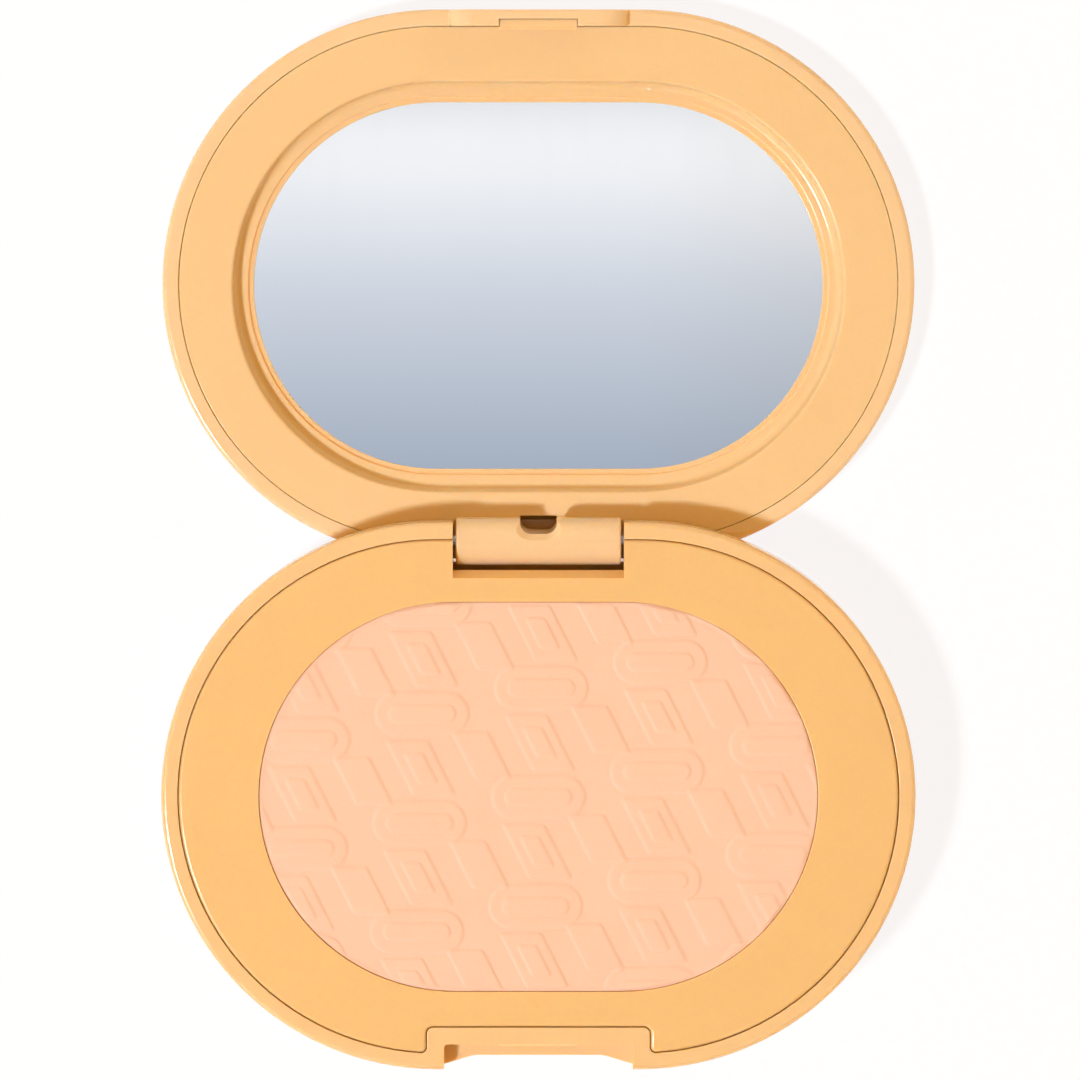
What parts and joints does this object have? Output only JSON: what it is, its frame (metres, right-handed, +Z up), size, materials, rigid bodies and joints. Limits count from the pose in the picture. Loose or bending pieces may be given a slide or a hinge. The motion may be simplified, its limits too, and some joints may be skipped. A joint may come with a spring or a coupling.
{
  "type": "powder compact",
  "caption": "Stadium-shaped hinged compact: base with a latch gap and pressed powder, lid with a mirror in a recessed frame, pin hinge.",
  "frame": {"origin": "centre of the base's flat foot, on the surface that it stands on", "axes": "+Z up; -Y is the front, where the latch is; the open lid lies on the +Y side"},
  "size_m": [0.08, 0.1124, 0.0116],
  "materials": {
    "case_plastic": "satin moulded plastic, warm peach orange",
    "deck_plastic": "satin moulded plastic, warm peach orange",
    "pan_aluminium": "drawn sheet, bright",
    "pressed_powder": "pressed powder, matte peach",
    "adhesive": "foam tape, matte white",
    "pin_steel": "drawn wire, bright",
    "label_paper": "blank coated paper",
    "mirror": "silvered glass"
  },
  "bodies": {
    "base": {"base_shell": "case_plastic", "base_deck": "deck_plastic", "powder_pan": "pan_aluminium", "powder_cake": "pressed_powder", "pan_adhesive": "adhesive", "hinge_pin": "pin_steel", "base_label": "label_paper"},
    "lid": {"lid_shell": "case_plastic", "lid_liner": "deck_plastic", "mirror_glass": "mirror", "mirror_tape": "adhesive"}
  },
  "joints": [
    {"name": "lid_hinge", "type": "hinge", "parent": "base", "child": "lid", "pos_m": [0, 0.027, 0.0084], "axis": [1, 0, 0], "range_deg": [0, 180]}
  ]
}
